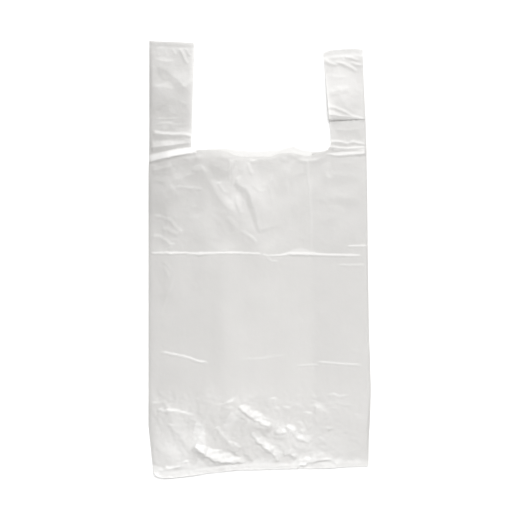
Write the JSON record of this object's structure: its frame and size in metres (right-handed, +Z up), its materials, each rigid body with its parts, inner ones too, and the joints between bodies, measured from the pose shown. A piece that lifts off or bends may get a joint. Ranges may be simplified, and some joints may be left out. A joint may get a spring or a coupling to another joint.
{
  "type": "plastic carrier bag",
  "caption": "Vest-type carrier bag of thin white film with side gussets, welded ends and handles cut in one with it, empty and lying flat.",
  "frame": {"origin": "centre of the bag's box in plan, on the surface that the bag lies on", "axes": "+Y towards the handles, +X across the bag, +Z up out of its front ply"},
  "size_m": [0.3088, 0.61, 0.0068],
  "materials": {
    "white_film": "thin white translucent high-density polyethylene film, satin, creased from its packet"
  },
  "bodies": {
    "root": {"carrier_bag": "white_film"}
  },
  "joints": []
}
